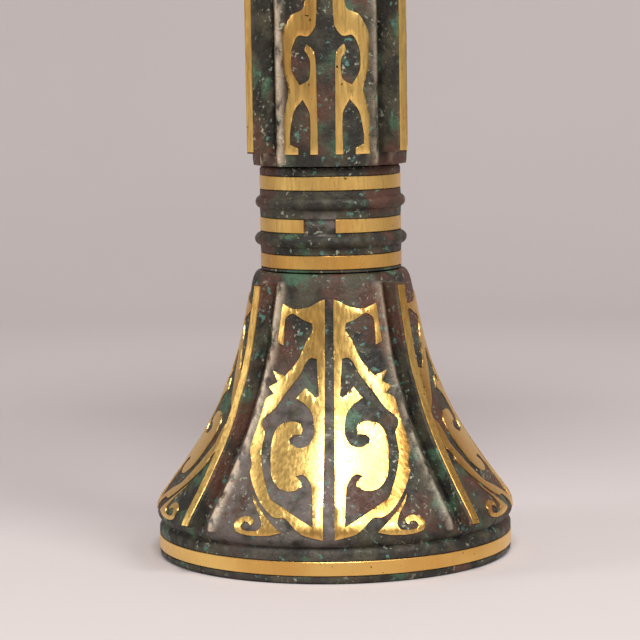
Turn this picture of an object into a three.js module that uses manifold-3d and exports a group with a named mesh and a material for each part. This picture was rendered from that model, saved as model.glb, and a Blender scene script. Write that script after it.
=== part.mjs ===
// A bronze gu: a tall ritual wine vase with gold inlay, in millimetres, +Z up.
// The origin is the centre of the foot's base. The front panel faces -Y.
// Five castings stand on each other on spigots, and each gold inlay is a piece of its own.

import * as THREE from 'three';
import { mergeVertices } from 'three/addons/utils/BufferGeometryUtils.js';
import { TessellateModifier } from 'three/addons/modifiers/TessellateModifier.js';
import Module from 'manifold-3d';

const wasm = await Module();
wasm.setup();

// Driving dimensions

const FACETS = 24;
const WALL = 2.4;
const RIM_RADIUS = 45;
const RIM_HEIGHT = 8.4;
const RIM_ROUNDING = 1.2;
const FOOT_TOP = 72.3;
const BELLY_HEIGHT = 56.6;
const TRUMPET_HEIGHT = 108;
const MOUTH_RADIUS = 75;
const NECK_RADIUS = 17.8;
const BELLY_RADIUS = 19.5;
const FLOOR_THICKNESS = 3;

// Clearances and joints between castings

const SEAM_GAP = 0.4;
const SPIGOT_RADIUS = 14.2;
const SPIGOT_WALL = 2.2;
const SPIGOT_LENGTH = 5.5;
const SPIGOT_GAP = 0.4;

// Gold inlay

const GOLD_THICKNESS = 0.7;
const GOLD_GAP = 0.35;
const GOLD_PROUD = 0.1;
const GOLD_SPAN = 6;
const FLAT_PER_DEGREE = 0.5;
const FLAT_PER_HEIGHT = 0.35;
const BAND_HEIGHT = 3.4;
const RIM_BAND_BOTTOM = 2.1;
const MIDDLE_BAND_GAP = { from: -20, to: 6 };

// Heights up the vase, each from the one below it

const NECK_BAND_INSET = 1.1;
const BAND_TO_LOWER_RIB = 4.1;
const LOWER_RIB_TO_BAND = 1.5;
const BAND_TO_UPPER_RIB = 3.8;
const UPPER_RIB_TO_BAND = 3.4;
const COLLAR_LAND = 2.2;
const UPPER_BAND_INSET = 4.9;
const BAND_TO_TOP_RIB = 3.6;
const TOP_RIB_TO_END = 4.1;

const LOWER_BAND = FOOT_TOP + NECK_BAND_INSET;
const LOWER_RIB = LOWER_BAND + BAND_HEIGHT + BAND_TO_LOWER_RIB;
const MIDDLE_BAND = LOWER_RIB + LOWER_RIB_TO_BAND;
const UPPER_RIB = MIDDLE_BAND + BAND_HEIGHT + BAND_TO_UPPER_RIB;
const UPPER_BAND = UPPER_RIB + UPPER_RIB_TO_BAND;
const COLLAR_TOP = UPPER_BAND + BAND_HEIGHT + COLLAR_LAND;
const BELLY_BOTTOM = COLLAR_TOP + SEAM_GAP;
const BELLY_TOP = BELLY_BOTTOM + BELLY_HEIGHT;
const TOP_BAND = BELLY_TOP + UPPER_BAND_INSET;
const TOP_RIB = TOP_BAND + BAND_HEIGHT + BAND_TO_TOP_RIB;
const UPPER_COLLAR_TOP = TOP_RIB + TOP_RIB_TO_END;
const TRUMPET_BOTTOM = UPPER_COLLAR_TOP + SEAM_GAP;
const MOUTH_TOP = TRUMPET_BOTTOM + TRUMPET_HEIGHT;

// Flanges

const FLANGE_THICKNESS = 3.3;
const FLANGE_GOLD_WIDTH = 2.2;
const FLANGE_ROOT = 1;
const FOOT_FLANGE_BOTTOM = 12.5;
const FOOT_FLANGE_TOP = 70;
const FOOT_FLANGE_REACH = 4.8;
const BELLY_FLANGE_BOTTOM = BELLY_BOTTOM + 3.4;
const BELLY_FLANGE_TOP = BELLY_TOP - 3;
const BELLY_FLANGE_REACH = 7;

const FRONT = -90;
const PANELS = { front: 0, right: 90, back: 180, left: 270 };
const SIDES = { left: -1, right: 1 };
const CORNERS = { front_right: 45, back_right: 135, back_left: 225, front_left: 315 };

// Outlines of the body, each point [height, radius]

const FOOT_LIP = [RIM_HEIGHT + 2.2, RIM_RADIUS + 0.4];
const FOOT_FLARE = [
  [RIM_HEIGHT + 3.1, RIM_RADIUS + 0.2],
  [26.1, 36.2],
  [31.2, 33.1],
  [38.8, 28.9],
  [47.2, 25.3],
  [59.1, 22.2],
  [FOOT_TOP - 3.1, 20.2],
];

// The trumpet and belly are drawn for these heights and spread, and follow the real ones
const DRAWN = { trumpetHeight: 108, trumpetSpread: 57.2, bellyHeight: 56.6 };
const upTrumpet = (rise) => TRUMPET_BOTTOM + (rise * TRUMPET_HEIGHT) / DRAWN.trumpetHeight;
const outTrumpet = (spread) => NECK_RADIUS + (spread * (MOUTH_RADIUS - NECK_RADIUS)) / DRAWN.trumpetSpread;
const upBelly = (rise) => BELLY_BOTTOM + (rise * BELLY_HEIGHT) / DRAWN.bellyHeight;
const TRUMPET_RISES = [[0, 0], [20, 2], [40, 7.7], [60, 17.2], [78, 29.2], [94, 42.7], [104, 53.7]];
const TRUMPET_FLARE = TRUMPET_RISES.map(([rise, spread]) => [upTrumpet(rise), outTrumpet(spread)]);
const BELLY_LINE = [
  [BELLY_BOTTOM, BELLY_RADIUS],
  [BELLY_TOP, BELLY_RADIUS],
];

// Outlines of the inlay on half a panel, each point [degrees from the panel's middle, height]

const DRAGON_EDGE = [
  [2.6, 66], [13.5, 64.5], [26, 64], [35, 65.3], [37.5, 59.4], [36, 56.4], [29.5, 55.2],
  [30, 61.2], [24, 62.6], [11, 60.6], [10.3, 58.6], [18.7, 51.5], [25.7, 47.6], [34, 48.6],
  [30.5, 43.8], [35.8, 41.7], [36.5, 32.8], [31.7, 25.4], [21.6, 18], [13.9, 16], [1.9, 12],
];
const DRAGON_OPENING = [
  [7.4, 52], [5.4, 43], [13, 45], [17, 42.6], [8.5, 39.2], [7, 34], [13.2, 31.2], [18, 33],
  [12.7, 34.3], [14, 36.8], [22.4, 36.7], [25.7, 31.5], [22, 24.5], [15, 21.6], [9.8, 22.8],
  [10.3, 25.3], [6.2, 22.4], [4.7, 14.6], [20.6, 20], [27.7, 27], [30.8, 34.2], [28.4, 40],
  [16.3, 48.6], [11, 52.2],
];
const SCROLL_EDGE = [
  [27.6, 20.2], [24, 17.8], [14.9, 12.3], [25.6, 11.6], [29.8, 12.3], [30.8, 13.8], [30.2, 15],
  [27, 15.8], [24.5, 15], [25.2, 14], [27.8, 14.4], [28.4, 13.3], [24.7, 12.6], [22.2, 12.9],
  [21.4, 14.2], [23.2, 16.5],
];
const BELLY_SCROLL_RISES = [
  [5.7, 51], [6.5, 35], [12, 32], [20, 32], [25, 28.5], [25, 23.5], [19, 20], [12, 21.5],
  [11, 26], [15, 28.5], [13.5, 30], [8, 28], [6.4, 3], [11.8, 3], [11.8, 13], [17, 16.5],
  [24, 13.5], [27.5, 5.5], [21, 4.4], [21, 3], [32.5, 3], [33, 11], [28, 19], [33, 25], [33, 32],
  [25, 37], [15, 39], [12, 51],
];
const BELLY_SCROLL_EDGE = BELLY_SCROLL_RISES.map(([degrees, rise]) => [degrees, upBelly(rise)]);
const BLADE_RISES = [[34, 6], [30, 28], [19, 60], [7, 84], [0, 91]];
const BLADE_OPENING_RISES = [[26, 11], [22, 31], [12, 60], [0, 76]];
const BLADE_EDGE = BLADE_RISES.map(([degrees, rise]) => [degrees, upTrumpet(rise)]);
const BLADE_OPENING = BLADE_OPENING_RISES.map(([degrees, rise]) => [degrees, upTrumpet(rise)]);

const bronze = () => new THREE.MeshStandardMaterial({ color: 0x35392d, roughness: 0.62, metalness: 0.55 });
const gold = () => new THREE.MeshStandardMaterial({ color: 0xe3b04b, roughness: 0.3, metalness: 1 });

// Radius of an outline at a height
function radiusAt(line, height) {
  const above = line.findIndex(([z]) => z >= height);
  if (above < 0) return line.at(-1)[1];
  if (above === 0) return line[0][1];
  const [z0, r0] = line[above - 1];
  const [z1, r1] = line[above];
  return r0 + ((r1 - r0) * (height - z0)) / (z1 - z0);
}

// Merge shared vertices, drop empty triangles and turn the faces out
function closed(geometry) {
  const bare = geometry.clone();
  for (const name of Object.keys(bare.attributes)) {
    if (name !== 'position') bare.deleteAttribute(name);
  }
  const merged = mergeVertices(bare, 1e-4);
  const place = merged.attributes.position;
  const corners = [];
  const a = new THREE.Vector3();
  const b = new THREE.Vector3();
  const c = new THREE.Vector3();
  let volume = 0;
  for (let i = 0; i < merged.index.count; i += 3) {
    const [p, q, r] = [0, 1, 2].map((k) => merged.index.getX(i + k));
    if (p === q || q === r || r === p) continue;
    corners.push(p, q, r);
    a.fromBufferAttribute(place, p);
    b.fromBufferAttribute(place, q);
    c.fromBufferAttribute(place, r);
    volume += a.dot(b.cross(c));
  }
  if (volume < 0) corners.reverse();
  merged.setIndex(corners);
  return merged;
}

function toSolid(geometry) {
  const shut = closed(geometry);
  return new wasm.Manifold(new wasm.Mesh({
    numProp: 3,
    vertProperties: new Float32Array(shut.attributes.position.array),
    triVerts: new Uint32Array(shut.index.array),
  }));
}

function fromSolid(solid) {
  const mesh = solid.getMesh();
  const geometry = new THREE.BufferGeometry();
  geometry.setAttribute('position', new THREE.BufferAttribute(new Float32Array(mesh.vertProperties), 3));
  geometry.setIndex([...mesh.triVerts]);
  return geometry;
}

// Turn a closed outline of [height, radius] points about the axis
function turned(outline) {
  const points = [...outline, outline[0]].map(([z, r]) => new THREE.Vector2(r, z));
  const geometry = new THREE.LatheGeometry(points, FACETS);
  geometry.rotateX(Math.PI / 2);
  return closed(geometry);
}

// A plate in a plane through the axis: an outline of [height, radius], as thick as given
function upright(outline, thickness, degrees) {
  const shape = new THREE.Shape(outline.map(([z, r]) => new THREE.Vector2(r, z)));
  const geometry = new THREE.ExtrudeGeometry(shape, { depth: thickness, bevelEnabled: false });
  geometry.translate(0, 0, -thickness / 2);
  geometry.rotateX(Math.PI / 2);
  geometry.rotateZ(THREE.MathUtils.degToRad(FRONT + degrees));
  return closed(geometry);
}

// A band's recess in a wall, as outline points going up
function recess(bottom, radius) {
  const floor = radius + GOLD_PROUD - GOLD_THICKNESS - GOLD_GAP;
  const top = bottom + BAND_HEIGHT;
  return [
    [bottom - GOLD_GAP, radius], [bottom - GOLD_GAP, floor],
    [top + GOLD_GAP, floor], [top + GOLD_GAP, radius],
  ];
}

function band(bottom, radius) {
  const outer = radius + GOLD_PROUD;
  const inner = outer - GOLD_THICKNESS;
  const top = bottom + BAND_HEIGHT;
  return turned([[bottom, inner], [bottom, outer], [top, outer], [top, inner]]);
}

// A band that stops short at the corroded patch on the front
function openBand(bottom, radius) {
  const start = THREE.MathUtils.degToRad(FRONT + MIDDLE_BAND_GAP.to);
  const end = THREE.MathUtils.degToRad(FRONT + MIDDLE_BAND_GAP.from + 360);
  const outer = radius + GOLD_PROUD;
  const shape = new THREE.Shape();
  shape.absarc(0, 0, outer, start, end, false);
  shape.absarc(0, 0, outer - GOLD_THICKNESS, end, start, true);
  const options = { depth: BAND_HEIGHT, bevelEnabled: false, curveSegments: FACETS };
  const geometry = new THREE.ExtrudeGeometry(shape, options);
  geometry.translate(0, 0, bottom);
  return closed(geometry);
}

// A flat inlay laid on the curved body, lifted by the inlay's gap
function laid(edge, openings, line, panel, side) {
  const at = ([degrees, z]) => new THREE.Vector2(side * degrees * FLAT_PER_DEGREE, z * FLAT_PER_HEIGHT);
  const shape = new THREE.Shape(edge.map(at));
  shape.holes = openings.map((hole) => new THREE.Path(hole.map(at)));
  const plate = new THREE.ExtrudeGeometry(shape, { depth: GOLD_THICKNESS, bevelEnabled: false });
  const fine = new TessellateModifier(GOLD_SPAN, 8).modify(plate);
  const place = fine.attributes.position;
  for (let i = 0; i < place.count; i += 1) {
    const turn = THREE.MathUtils.degToRad(FRONT + panel + place.getX(i) / FLAT_PER_DEGREE);
    const height = place.getY(i) / FLAT_PER_HEIGHT;
    const radius = radiusAt(line, height) + GOLD_GAP + place.getZ(i);
    place.setXYZ(i, radius * Math.cos(turn), radius * Math.sin(turn), height);
  }
  return closed(fine);
}

// Outer edge of a flange: the body's line between two heights, moved out by its reach
function flangeEdge(line, bottom, top, reach) {
  const between = line.filter(([z]) => z > bottom && z < top);
  const ends = [bottom, top].map((z) => [z, radiusAt(line, z)]);
  return [ends[0], ...between, ends[1]].map(([z, r]) => [z, r + reach]);
}

const shifted = (edge, step) => edge.map(([z, r]) => [z, r + step]);

function withFlanges(body, edge, reach) {
  const outline = [...edge, ...shifted(edge, -reach - FLANGE_ROOT).reverse()];
  let solid = toSolid(body);
  for (const degrees of Object.values(CORNERS)) {
    solid = solid.add(toSolid(upright(outline, FLANGE_THICKNESS, degrees)));
  }
  return fromSolid(solid);
}

function flangeGold(edge, degrees) {
  const inner = shifted(edge, GOLD_GAP);
  const outer = shifted(edge, GOLD_GAP + GOLD_THICKNESS);
  return upright([...outer, ...inner.reverse()], FLANGE_GOLD_WIDTH, degrees);
}

const SPIGOT_BORE = SPIGOT_RADIUS - SPIGOT_WALL;
const SLEEVE_BORE = SPIGOT_RADIUS + SPIGOT_GAP;

const footEdge = flangeEdge(FOOT_FLARE, FOOT_FLANGE_BOTTOM, FOOT_FLANGE_TOP, FOOT_FLANGE_REACH);
const bellyEdge = flangeEdge(BELLY_LINE, BELLY_FLANGE_BOTTOM, BELLY_FLANGE_TOP, BELLY_FLANGE_REACH);

// Foot: vertical rim, groove, rounded lip, flare and shoulder, hollow below
function footCasting() {
  const inside = FOOT_FLARE.slice(1, -1).map(([z, r]) => [z, r - WALL]).reverse();
  const body = turned([
    [0, RIM_RADIUS - WALL], [0, RIM_RADIUS - RIM_ROUNDING],
    ...recess(RIM_BAND_BOTTOM, RIM_RADIUS),
    [RIM_HEIGHT - 1, RIM_RADIUS], [RIM_HEIGHT, RIM_RADIUS - 0.9], [RIM_HEIGHT + 0.8, RIM_RADIUS - 0.4],
    FOOT_LIP,
    ...FOOT_FLARE,
    [FOOT_TOP, NECK_RADIUS + 0.7], [FOOT_TOP, SPIGOT_RADIUS],
    [FOOT_TOP + SPIGOT_LENGTH, SPIGOT_RADIUS], [FOOT_TOP + SPIGOT_LENGTH, SPIGOT_BORE],
    [FOOT_TOP - 6, SPIGOT_BORE],
    ...inside,
    [RIM_HEIGHT, RIM_RADIUS - WALL],
  ]);
  return withFlanges(body, footEdge, FOOT_FLANGE_REACH);
}

// Sleeve between foot and belly, with two raised bowstring ribs and three inlaid bands
function neckCollar() {
  return turned([
    [FOOT_TOP + SEAM_GAP, SLEEVE_BORE],
    [FOOT_TOP + SEAM_GAP, NECK_RADIUS],
    ...recess(LOWER_BAND, NECK_RADIUS),
    [LOWER_RIB - 1.3, NECK_RADIUS + 0.1], [LOWER_RIB, NECK_RADIUS + 1.5], [LOWER_RIB + 1, NECK_RADIUS + 0.2],
    ...recess(MIDDLE_BAND, NECK_RADIUS),
    [UPPER_RIB - 1.4, NECK_RADIUS + 0.1], [UPPER_RIB, NECK_RADIUS + 1.1], [UPPER_RIB + 1.4, NECK_RADIUS + 0.1],
    ...recess(UPPER_BAND, NECK_RADIUS),
    [COLLAR_TOP, NECK_RADIUS],
    [COLLAR_TOP, SLEEVE_BORE],
  ]);
}

// Belly: the vessel's floor is its lower spigot
function bellyCasting() {
  const floor = BELLY_BOTTOM - SPIGOT_LENGTH;
  const body = turned([
    [floor, 0], [floor, SPIGOT_RADIUS],
    [BELLY_BOTTOM, SPIGOT_RADIUS], [BELLY_BOTTOM, BELLY_RADIUS],
    [BELLY_TOP, BELLY_RADIUS], [BELLY_TOP, SPIGOT_RADIUS],
    [BELLY_TOP + SPIGOT_LENGTH, SPIGOT_RADIUS], [BELLY_TOP + SPIGOT_LENGTH, SPIGOT_BORE],
    [BELLY_TOP - 3, SPIGOT_BORE], [BELLY_TOP - 8, BELLY_RADIUS - WALL],
    [BELLY_BOTTOM + 5, BELLY_RADIUS - WALL], [floor + FLOOR_THICKNESS, SPIGOT_BORE],
    [floor + FLOOR_THICKNESS, 0],
  ]);
  return withFlanges(body, bellyEdge, BELLY_FLANGE_REACH);
}

function upperCollar() {
  return turned([
    [BELLY_TOP + SEAM_GAP, SLEEVE_BORE],
    [BELLY_TOP + SEAM_GAP, NECK_RADIUS],
    ...recess(TOP_BAND, NECK_RADIUS),
    [TOP_RIB - 1.3, NECK_RADIUS + 0.1], [TOP_RIB, NECK_RADIUS + 1.3], [TOP_RIB + 1.3, NECK_RADIUS + 0.1],
    [UPPER_COLLAR_TOP, NECK_RADIUS],
    [UPPER_COLLAR_TOP, SLEEVE_BORE],
  ]);
}

function trumpetCasting() {
  const inside = TRUMPET_FLARE.slice(1).map(([z, r]) => [z + 1, r - WALL]).reverse();
  return turned([
    [TRUMPET_BOTTOM - SPIGOT_LENGTH, SPIGOT_BORE], [TRUMPET_BOTTOM - SPIGOT_LENGTH, SPIGOT_RADIUS],
    [TRUMPET_BOTTOM, SPIGOT_RADIUS],
    ...TRUMPET_FLARE,
    [MOUTH_TOP, MOUTH_RADIUS], [MOUTH_TOP, MOUTH_RADIUS - WALL],
    ...inside,
    [TRUMPET_BOTTOM + 3, SPIGOT_BORE],
  ]);
}

const vase = new THREE.Group();

function piece(name, geometry, material) {
  const mesh = new THREE.Mesh(geometry, material);
  mesh.name = name;
  vase.add(mesh);
}

piece('foot_casting', footCasting(), bronze());
piece('neck_collar', neckCollar(), bronze());
piece('belly_casting', bellyCasting(), bronze());
piece('upper_collar', upperCollar(), bronze());
piece('trumpet_casting', trumpetCasting(), bronze());

piece('foot_rim_gold_band', band(RIM_BAND_BOTTOM, RIM_RADIUS), gold());
piece('neck_gold_band_lower', band(LOWER_BAND, NECK_RADIUS), gold());
piece('neck_gold_band_middle', openBand(MIDDLE_BAND, NECK_RADIUS), gold());
piece('neck_gold_band_upper', band(UPPER_BAND, NECK_RADIUS), gold());
piece('upper_collar_gold_band', band(TOP_BAND, NECK_RADIUS), gold());

for (const [corner, degrees] of Object.entries(CORNERS)) {
  piece(`foot_flange_gold_${corner}`, flangeGold(footEdge, degrees), gold());
  piece(`belly_flange_gold_${corner}`, flangeGold(bellyEdge, degrees), gold());
}

const BLADE = [...BLADE_EDGE, ...BLADE_EDGE.slice(0, -1).map(([d, z]) => [-d, z]).reverse()];
const BLADE_HOLE = [...BLADE_OPENING, ...BLADE_OPENING.slice(0, -1).map(([d, z]) => [-d, z]).reverse()];

for (const [panel, degrees] of Object.entries(PANELS)) {
  for (const [side, sign] of Object.entries(SIDES)) {
    const where = `${panel}_${side}`;
    piece(`foot_dragon_${where}`, laid(DRAGON_EDGE, [DRAGON_OPENING], FOOT_FLARE, degrees, sign), gold());
    piece(`foot_scroll_${where}`, laid(SCROLL_EDGE, [], FOOT_FLARE, degrees, sign), gold());
    piece(`belly_scroll_${where}`, laid(BELLY_SCROLL_EDGE, [], BELLY_LINE, degrees, sign), gold());
  }
  piece(`trumpet_blade_${panel}`, laid(BLADE, [BLADE_HOLE], TRUMPET_FLARE, degrees, 1), gold());
}

export default vase;
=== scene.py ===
"""A gold-inlaid bronze gu vase, dressed around the castings from model.glb."""

import logging
import math
from dataclasses import dataclass, field
from enum import Enum
from typing import Callable

import bmesh
import bpy
from mathutils import Matrix, Vector, noise

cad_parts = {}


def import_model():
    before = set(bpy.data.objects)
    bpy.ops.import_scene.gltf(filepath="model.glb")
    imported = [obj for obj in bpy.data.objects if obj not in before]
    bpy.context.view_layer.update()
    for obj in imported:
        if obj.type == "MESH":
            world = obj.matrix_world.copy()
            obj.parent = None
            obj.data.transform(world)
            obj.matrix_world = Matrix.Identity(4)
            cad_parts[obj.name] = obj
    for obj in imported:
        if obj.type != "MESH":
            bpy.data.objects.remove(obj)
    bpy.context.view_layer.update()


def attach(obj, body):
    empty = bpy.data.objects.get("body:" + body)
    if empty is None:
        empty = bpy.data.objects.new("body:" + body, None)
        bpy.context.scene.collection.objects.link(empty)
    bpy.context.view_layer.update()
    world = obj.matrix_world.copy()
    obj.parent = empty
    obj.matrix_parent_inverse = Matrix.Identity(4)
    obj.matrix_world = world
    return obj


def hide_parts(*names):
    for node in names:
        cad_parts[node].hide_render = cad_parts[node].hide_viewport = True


LOG = logging.getLogger("gu")
MM = 0.001
ROOT = "root"
Pair = tuple[float, float]
Triple = tuple[float, float, float]
Face = tuple[int, ...]
Colour = tuple[float, float, float, float]
Value = float | Vector

# Sizes that the castings and their gold share, in millimetres
RIM_RADIUS = 45.0
NECK_RADIUS = 17.8
SPIGOT_RADIUS = 14.2
SPIGOT_BORE = 12.0
SPIGOT_LENGTH = 5.5
SLEEVE_BORE = 14.6

# How inlay outlines are rounded: width drawn for one degree, and how far a curve swings out
FLAT_PER_DEGREE = 0.5
CURVE_PULL = 0.8

# Sockets of a Mix node for colours, by number
MIX_BELOW = 6
MIX_ABOVE = 7
MIX_RESULT = 2


class Panel(Enum):
    """The four panels, by the angle of each one's middle from the front."""

    FRONT = 0
    RIGHT = 90
    BACK = 180
    LEFT = 270


class Corner(Enum):
    """The four flanges, by the angle of each one from the front."""

    FRONT_RIGHT = 45
    BACK_RIGHT = 135
    BACK_LEFT = 225
    FRONT_LEFT = 315


class Side(Enum):
    """The two mirrored halves of a panel."""

    LEFT = -1
    RIGHT = 1


def eased(start: Value, end: Value, leave: Value, arrive: Value, t: float) -> Value:
    """Follow a smooth curve from one value to another.

    Args:
        start: Value where the curve starts.
        end: Value where it ends.
        leave: Slope at its start, over its whole length.
        arrive: Slope at its end, over its whole length.
        t: How far along the curve, from 0 to 1.

    Returns:
        The value there.
    """
    return (start * (2 * t**3 - 3 * t**2 + 1) + leave * (t**3 - 2 * t**2 + t)
            + end * (3 * t**2 - 2 * t**3) + arrive * (t**3 - t**2))


@dataclass(frozen=True)
class Line:
    """A smooth outline of the body, as points of height and radius in millimetres."""

    points: tuple[Pair, ...]

    def radius(self, height: float) -> float:
        """Find the radius at a height.

        Args:
            height: Height in millimetres.

        Returns:
            The radius in millimetres, on a curve through the points.
        """
        pts = self.points
        if height <= pts[0][0]:
            return pts[0][1]
        if height >= pts[-1][0]:
            return pts[-1][1]
        i = max(k for k in range(len(pts) - 1) if pts[k][0] <= height)
        (z0, r0), (z1, r1) = pts[i], pts[i + 1]
        before = pts[max(i - 1, 0)]
        after = pts[min(i + 2, len(pts) - 1)]
        span = z1 - z0
        leave = span * (r1 - before[1]) / (z1 - before[0])
        arrive = span * (after[1] - r0) / (after[0] - z0)
        return eased(r0, r1, leave, arrive, (height - z0) / span)

    def samples(self, step: float) -> list[Pair]:
        """List evenly spaced points of the outline, from its foot to its top.

        Args:
            step: Height between two points, as near as it divides the outline.

        Returns:
            The points.
        """
        low, high = self.points[0][0], self.points[-1][0]
        count = max(2, round((high - low) / step))
        heights = [low + (high - low) * k / count for k in range(count + 1)]
        return [(z, self.radius(z)) for z in heights]


FOOT_LINE = Line((
    (10.9, 45.4), (13.4, 45.0), (15.2, 43.9), (18.25, 41.7), (22.05, 38.9), (26.1, 36.2), (31.2, 32.9),
    (35.0, 30.8), (38.8, 28.9), (42.8, 27.2), (47.2, 25.4), (51.2, 24.1), (55.3, 23.0), (59.1, 22.2),
    (64.1, 21.2), (69.2, 20.2),
))
BELLY_LINE = Line(((99.0, 19.3), (101.0, 19.5), (154.0, 19.5), (155.6, 19.3)))
TRUMPET_LINE = Line((
    (172.0, 17.8), (182.0, 18.5), (192.0, 19.8), (212.0, 25.3), (232.0, 34.8), (250.0, 46.6),
    (266.0, 60.2), (276.0, 71.2), (279.0, 74.6),
))

# Half-panel outlines, each point in degrees from the panel's middle and millimetres of height
DRAGON_EDGE: tuple[Pair, ...] = (
    (2.9, 66.4), (7.6, 65.7), (13.5, 64.5), (21.6, 64.0), (26.5, 64.2), (35.0, 65.5), (37.5, 59.4),
    (36.0, 56.4), (29.3, 55.0), (30.0, 61.0), (28.0, 62.3), (24.0, 62.8), (16.9, 61.4), (11.0, 60.6),
    (10.3, 58.9), (14.2, 56.2), (18.7, 51.5), (25.7, 47.7), (34.0, 48.8), (29.8, 46.2), (35.0, 44.9),
    (30.5, 43.5), (35.8, 41.7), (36.2, 37.8), (36.6, 32.8), (35.4, 29.8), (32.6, 27.4), (31.9, 25.2),
    (26.6, 20.8), (21.6, 17.6), (17.4, 15.8), (13.9, 15.7), (8.4, 12.3), (1.8, 10.9),
)
DRAGON_OPENING: tuple[Pair, ...] = (
    (7.4, 52.0), (5.4, 43.2), (6.9, 42.8), (13.0, 45.2), (17.2, 42.6), (12.4, 41.3), (8.5, 39.2),
    (7.0, 36.1), (7.0, 34.0), (9.3, 31.8), (13.2, 31.2), (17.2, 32.2), (18.0, 33.0), (16.5, 34.0),
    (12.7, 34.3), (12.5, 35.5), (14.0, 36.8), (18.0, 37.2), (22.4, 36.7), (25.7, 34.9), (25.7, 31.5),
    (23.8, 27.3), (22.0, 24.5), (18.2, 22.2), (15.0, 21.6), (12.2, 21.8), (9.8, 22.8), (10.6, 24.0),
    (12.8, 24.9), (10.3, 25.3), (8.2, 24.6), (6.2, 22.4), (4.9, 13.9), (15.4, 18.0), (20.6, 19.8),
    (23.2, 22.2), (25.5, 24.5), (27.7, 27.0), (29.8, 29.8), (30.8, 34.2), (33.4, 36.0), (33.6, 37.4),
    (28.4, 40.0), (24.0, 43.5), (16.3, 48.6), (14.0, 51.0), (11.0, 52.2),
)
SCROLL_EDGE: tuple[Pair, ...] = (
    (27.6, 20.4), (24.0, 17.9), (14.9, 12.5), (19.0, 11.7), (25.6, 11.5), (29.8, 12.2), (30.8, 13.8),
    (30.2, 15.0), (27.0, 15.8), (24.5, 15.1), (24.5, 14.2), (25.2, 13.9), (26.2, 14.5), (27.8, 14.4),
    (28.5, 13.4), (27.5, 12.7), (24.7, 12.5), (22.2, 12.9), (21.4, 14.2), (23.2, 16.5), (26.5, 19.0),
)
BELLY_SCROLL_EDGE: tuple[Pair, ...] = (
    (5.7, 150.0), (6.5, 134.0), (12.0, 131.0), (20.0, 131.0), (25.0, 127.5), (25.0, 122.5),
    (19.0, 119.0), (12.0, 120.5), (11.0, 125.0), (15.0, 127.5), (13.5, 129.0), (8.0, 127.0),
    (6.8, 120.0), (6.4, 102.0), (11.8, 102.0), (11.8, 112.0), (17.0, 115.5), (24.0, 112.5),
    (27.5, 107.0), (27.5, 104.5), (21.0, 103.4), (21.0, 102.0), (32.5, 102.0), (33.0, 110.0),
    (28.0, 118.0), (33.0, 124.0), (33.0, 131.0), (25.0, 136.0), (15.0, 138.0), (12.0, 150.0),
)
BLADE_HALF: tuple[Pair, ...] = ((34.0, 178.0), (30.0, 200.0), (19.0, 232.0), (7.0, 256.0))
BLADE_TIP: Pair = (0.0, 263.0)
BLADE_HOLE_HALF: tuple[Pair, ...] = ((26.0, 183.0), (22.0, 203.0), (12.0, 232.0))
BLADE_HOLE_TIP: Pair = (0.0, 248.0)


def mirrored(half: tuple[Pair, ...], tip: Pair) -> tuple[Pair, ...]:
    """Close half an outline with its mirror image, through a tip on the panel's middle."""
    return (*half, tip, *((-degrees, z) for degrees, z in reversed(half)))


def rounded(points: tuple[Pair, ...], steps: int = 4, corner: float = 62.0) -> list[Pair]:
    """Round an outline, but keep its sharp corners.

    Args:
        points: Closed outline in degrees and millimetres.
        steps: Points for each side of the outline.
        corner: Turn in degrees from which a point stays sharp.

    Returns:
        The finer closed outline.
    """
    spots = [Vector((x * FLAT_PER_DEGREE, z)) for x, z in points]
    count = len(spots)
    sharp = []
    for i in range(count):
        before = spots[i] - spots[i - 1]
        after = spots[(i + 1) % count] - spots[i]
        sharp.append(math.degrees(before.angle(after)) > corner)
    result = []
    for i in range(count):
        after = (i + 1) % count
        here, there, beyond = spots[i], spots[after], spots[(i + 2) % count]
        side = there - here
        leave = side if sharp[i] else (there - spots[i - 1]).normalized() * side.length
        arrive = side if sharp[after] else (beyond - here).normalized() * side.length
        for k in range(steps):
            spot = eased(here, there, leave * CURVE_PULL, arrive * CURVE_PULL, k / steps)
            result.append((spot.x / FLAT_PER_DEGREE, spot.y))
    return result


def turned_to(degrees: float, radius: float, height: float) -> Triple:
    """Place a point by its angle from the front, its radius and its height, in metres."""
    turn = math.radians(degrees)
    return (radius * math.sin(turn) * MM, -radius * math.cos(turn) * MM, height * MM)


def faded(past: float, over: float) -> float:
    """Fade from 1 to 0 as a place lies further past an edge."""
    return max(0.0, 1.0 - max(0.0, past) / over)


def skin(rows: int, sides: int, closed: bool) -> list[Face]:
    """Join rows of points with four-sided faces.

    Args:
        rows: Number of rows.
        sides: Points in each row, which closes on itself.
        closed: Whether the last row joins the first.

    Returns:
        The faces.
    """
    faces = []
    for row in range(rows if closed else rows - 1):
        low, high = row * sides, ((row + 1) % rows) * sides
        for side in range(sides):
            after = (side + 1) % sides
            faces.append((low + side, low + after, high + after, high + side))
    return faces


def end_caps(rows: int, sides: int) -> list[Face]:
    """Close the first and the last of several rows of points with one face each."""
    return [tuple(range(sides)), tuple(reversed(range((rows - 1) * sides, rows * sides)))]


def new_piece(name: str, verts: list[Triple], faces: list[Face],
              sharp_at: float = 38.0) -> bpy.types.Object:
    """Make an object from points and faces, with faces out and smooth shading.

    Args:
        name: Name of the piece.
        verts: Its points, in metres.
        faces: Its faces.
        sharp_at: Angle in degrees from which an edge stays sharp.

    Returns:
        The new object, linked to the scene.
    """
    mesh = bpy.data.meshes.new(name)
    mesh.from_pydata(verts, [], faces)
    bm = bmesh.new()
    bm.from_mesh(mesh)
    bmesh.ops.recalc_face_normals(bm, faces=bm.faces[:])
    bm.to_mesh(mesh)
    bm.free()
    mesh.shade_smooth()
    mesh.set_sharp_from_angle(angle=math.radians(sharp_at))
    piece = bpy.data.objects.new(name, mesh)
    bpy.context.scene.collection.objects.link(piece)
    return piece


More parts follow.
